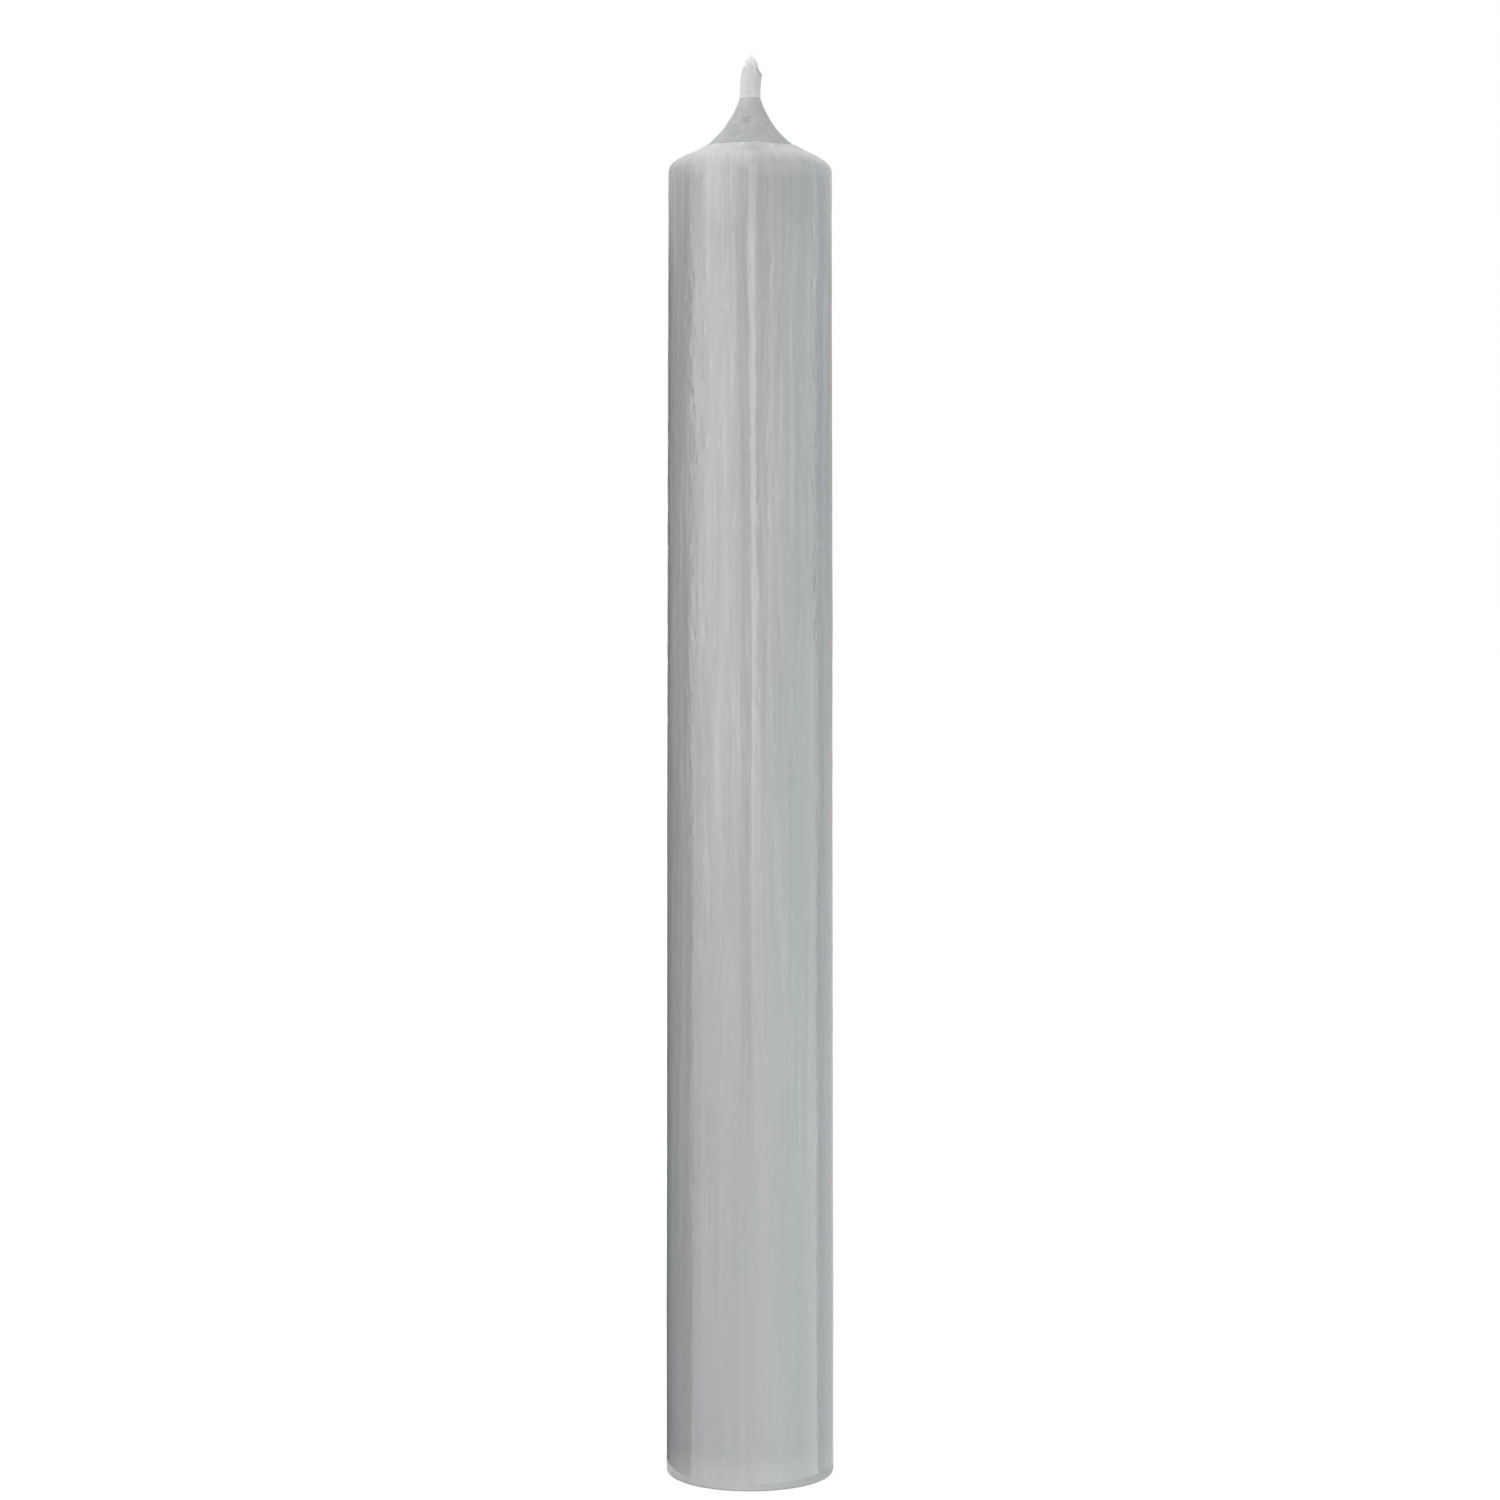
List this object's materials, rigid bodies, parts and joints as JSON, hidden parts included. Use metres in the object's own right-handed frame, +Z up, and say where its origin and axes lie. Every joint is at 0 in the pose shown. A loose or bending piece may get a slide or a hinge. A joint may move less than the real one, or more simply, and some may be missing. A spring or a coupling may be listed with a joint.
{
  "type": "taper candle",
  "caption": "Tall slim dinner candle: a nearly straight round wax column with a hollow-sided head, a primed wick that leans a little, and a plain flat foot.",
  "frame": {"origin": "centre of the flat foot that the candle stands on", "axes": "+Z up along the candle, from foot to wick; +X towards the side that the wick leans to; -Y towards the viewer"},
  "size_m": [0.0219, 0.0218, 0.1845],
  "materials": {
    "dyed_wax": "satin grey dyed wax with faint draw lines",
    "cotton": "braided cotton yarn, frayed at its end",
    "primer_wax": "thin pale wax soaked into the braid"
  },
  "bodies": {
    "root": {"wax_body": "dyed_wax", "wick": "cotton", "wick_wax_sleeve": "primer_wax"}
  },
  "joints": []
}
